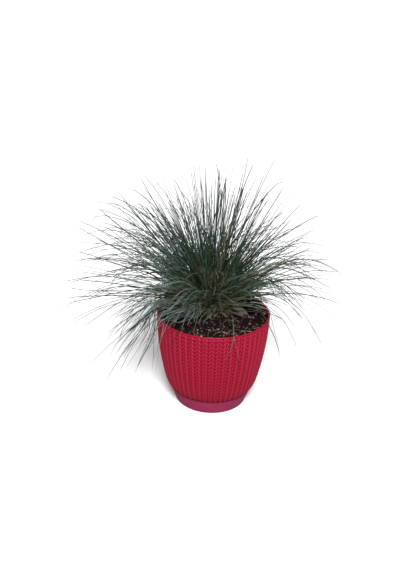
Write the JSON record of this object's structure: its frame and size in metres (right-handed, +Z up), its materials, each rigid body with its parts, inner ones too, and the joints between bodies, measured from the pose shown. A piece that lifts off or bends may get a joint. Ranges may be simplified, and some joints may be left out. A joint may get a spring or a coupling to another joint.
{
  "type": "potted blue fescue clump",
  "caption": "Tussock of blue-green needle grass growing in peat, in a tapered round plastic pot with knit relief that stands on a clip-on drip tray.",
  "frame": {"origin": "centre of the drip tray's flat underside, on the pot's axis", "axes": "+Z up along the pot's axis; -Y towards the viewer of the picture, the side where the soil shows; +X to the viewer's right"},
  "size_m": [0.2986, 0.2795, 0.2785],
  "materials": {
    "pot_plastic": "satin crimson, moulded knit relief",
    "tray_plastic": "smooth satin crimson-rose",
    "peat": "damp, rough, crumbly",
    "bark": "dry, rough",
    "tussock_base": "dull, fibrous",
    "blades_upright": "matt, waxy blue-green bloom",
    "blades_steep": "matt, waxy blue-green bloom",
    "blades_raised": "matt, waxy blue-green bloom",
    "blades_middle": "matt, waxy blue-green bloom",
    "blades_spreading": "matt, waxy blue-green bloom",
    "blades_falling": "matt, waxy blue-green bloom"
  },
  "bodies": {
    "root": {"pot": "pot_plastic", "drip_tray": "tray_plastic", "soil": "peat", "bark_chip": "bark", "crown": "tussock_base", "tuft_01": "blades_upright", "tuft_02": "blades_upright", "tuft_03": "blades_upright", "tuft_04": "blades_upright", "tuft_05": "blades_steep", "tuft_06": "blades_steep", "tuft_07": "blades_steep", "tuft_08": "blades_steep", "tuft_09": "blades_steep", "tuft_10": "blades_steep", "tuft_11": "blades_steep", "tuft_12": "blades_steep", "tuft_13": "blades_raised", "tuft_14": "blades_raised", "tuft_15": "blades_raised", "tuft_16": "blades_raised", "tuft_17": "blades_raised", "tuft_18": "blades_raised", "tuft_19": "blades_raised", "tuft_20": "blades_raised", "tuft_21": "blades_raised", "tuft_22": "blades_raised", "tuft_23": "blades_raised", "tuft_24": "blades_middle", "tuft_25": "blades_middle", "tuft_26": "blades_middle", "tuft_27": "blades_middle", "tuft_28": "blades_middle", "tuft_29": "blades_middle", "tuft_30": "blades_middle", "tuft_31": "blades_middle", "tuft_32": "blades_middle", "tuft_33": "blades_middle", "tuft_34": "blades_middle", "tuft_35": "blades_middle", "tuft_36": "blades_spreading", "tuft_37": "blades_spreading", "tuft_38": "blades_spreading", "tuft_39": "blades_spreading", "tuft_40": "blades_spreading", "tuft_41": "blades_spreading", "tuft_42": "blades_spreading", "tuft_43": "blades_spreading", "tuft_44": "blades_spreading", "tuft_45": "blades_spreading", "tuft_46": "blades_falling", "tuft_47": "blades_falling", "tuft_48": "blades_falling", "tuft_49": "blades_falling", "tuft_50": "blades_falling", "tuft_51": "blades_falling", "tuft_52": "blades_falling", "tuft_53": "blades_falling", "tuft_54": "blades_falling"}
  },
  "joints": []
}
